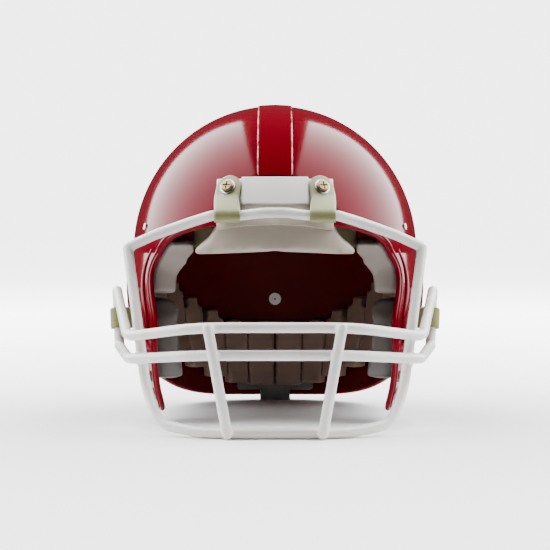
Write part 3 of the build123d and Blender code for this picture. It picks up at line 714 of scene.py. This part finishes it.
PADS = {  # body, material slot and how full the cover is
    "forehead_pad": ("helmet", "cream_vinyl", 0.7),
    "temple_pad_left": ("helmet", "pad_vinyl", 0.7),
    "temple_pad_right": ("helmet", "pad_vinyl", 0.7),
    "jaw_pad_left": ("jaw_pad_left", "pad_vinyl", 0.7),
    "jaw_pad_right": ("jaw_pad_right", "pad_vinyl", 0.7),
}
pads = {n: softened(n + "_cover", [n], body, 3.0, 3) for n, (body, _, _) in PADS.items()}
puffed(list(pads.values()))
for n, (body, slot, fill) in PADS.items():
    pads[n].modifiers.new("fine", "SUBSURF").levels = 1
    settled(pads[n])
    # the jaw pads take their painted shade in their slot's place
    dressed(pads[n], slot, shaded_jaw_vinyl if n.startswith("jaw") else None)

foam = softened("forehead_foam_block", ["forehead_foam"], "helmet", 2.0, 2)
dressed(foam, "tan_foam")
liner = softened("rear_liner_cells", ["rear_liner"], "helmet", 1.6, 5, apart=True)
dressed(liner, "liner_vinyl")
crown = softened("crown_pad_cells", ["crown_pad"], "helmet", 1.6, 5, apart=True)
dressed(crown, "liner_vinyl")

# ---- The hardware, as modelled in CAD -----------------------------------------------------

for n, slot in {
    "jaw_pad_studs": "nickel",
    "chin_strap_snaps": "nickel",
    "temple_rivets": "nickel",
    "inflation_valve": "valve_rubber",
    "top_clip_screws": "brass",
    "side_clip_screws": "brass",
    "clip_washers": "nickel",
    "clip_t_nuts": "nickel",
}.items():
    dressed(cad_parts[n], slot)

# ---- Floor, lights and camera -------------------------------------------------------------

FLOOR = (0.84, 0.84, 0.84)
NEAR_FLOOR = 0.4  # radius of the part whose light reaches the helmet
GLOW, GLOW_RISE = 4.5, (0.3, 1.6)  # of the wall and the far floor, and the radii it rises between
WALL_RADIUS, WALL_HEIGHT = 8.9, 9.0
BLACK = (0.0, 0.0, 0.0)
SOFTBOX_X, SOFTBOX_Y, SOFTBOX_Z = 1.05, 0.6, 0.98
SOFTBOX_SIZE, SOFTBOX_POWER = (2.2, 1.85), 130
WORLD_LIGHT = 0.06


def studio_ring(name, start, end, colour, count=64):
    """A round pale sheet from one radius and height to another. It glows more further out."""
    turns = [2 * math.pi * i / count for i in range(count)]
    verts = [(r * math.cos(t), r * math.sin(t), z) for r, z in (start, end) for t in turns]
    faces = [(i, (i + 1) % count, count + (i + 1) % count, count + i) for i in range(count)]
    mesh = bpy.data.meshes.new(name)
    mesh.from_pydata(verts, [], faces)
    mesh.shade_smooth()
    obj = bpy.data.objects.new(name, mesh)
    bpy.context.scene.collection.objects.link(obj)
    paler = tuple(c * 1.03 for c in colour)
    paint, tree, shader, place = material(name, colour, paler, (0.8, 0.9), blotch=2.0)
    flat = node(tree, "ShaderNodeVectorMath", {0: place, 1: (1, 1, 0)}, operation="MULTIPLY").outputs[0]
    radius = node(tree, "ShaderNodeVectorMath", {0: flat}, operation="LENGTH").outputs["Value"]
    near, far = GLOW_RISE
    glow = node(
        tree, "ShaderNodeMapRange", {"Value": radius, "From Min": near, "From Max": far, "To Max": GLOW}
    ).outputs[0]
    shader.inputs["Emission Color"].default_value = (1, 1, 1, 1)
    tree.links.new(glow, shader.inputs["Emission Strength"])
    mesh.materials.append(paint)
    return obj


def only_seen(obj):
    """Keeps a stage piece's light and reflection off the helmet."""
    obj.visible_diffuse = obj.visible_glossy = obj.visible_transmission = obj.visible_shadow = False


def softbox(name, centre, target, size, power):
    """A rectangular light at centre, aimed at target."""
    light = bpy.data.lights.new(name, "AREA")
    light.shape, light.size, light.size_y = "RECTANGLE", *size
    light.energy = power
    obj = bpy.data.objects.new(name, light)
    bpy.context.scene.collection.objects.link(obj)
    obj.location = centre
    obj.rotation_euler = (Vector(target) - Vector(centre)).to_track_quat("-Z", "Y").to_euler()
    return obj


studio_ring("studio_floor", (0.0, 0.0), (NEAR_FLOOR, 0.0), FLOOR)
only_seen(studio_ring("studio_far_floor", (NEAR_FLOOR, 0.0), (WALL_RADIUS, 0.0), FLOOR))
only_seen(studio_ring("studio_wall", (WALL_RADIUS, 0.0), (WALL_RADIUS, WALL_HEIGHT), BLACK))
for side in (-1, 1):
    place = side * SOFTBOX_X, SOFTBOX_Y, SOFTBOX_Z
    softbox(f"overhead_{side + 1}", place, (0, SOFTBOX_Y, 0.0), SOFTBOX_SIZE, SOFTBOX_POWER)

world = bpy.data.worlds.new("studio")
bpy.context.scene.world = world
world.use_nodes = True
background = next(n for n in world.node_tree.nodes if n.type == "BACKGROUND")
background.inputs["Color"].default_value = (1, 1, 1, 1)
background.inputs["Strength"].default_value = WORLD_LIGHT

CAMERA_HEIGHT, CAMERA_DISTANCE = 0.165, 1.564
FOCAL_PIXELS, HORIZON_ABOVE_MIDDLE, PHOTO_SIZE = 1962.0, 65.0, 550.0
lens = bpy.data.cameras.new("camera")
lens.sensor_width = 36.0
lens.lens = FOCAL_PIXELS / PHOTO_SIZE * lens.sensor_width
camera = bpy.data.objects.new("camera", lens)
bpy.context.scene.collection.objects.link(camera)
camera.location = (0, -CAMERA_DISTANCE, CAMERA_HEIGHT)
camera.rotation_euler = (math.pi / 2 - math.atan(HORIZON_ABOVE_MIDDLE / FOCAL_PIXELS), 0, 0)
bpy.context.scene.camera = camera
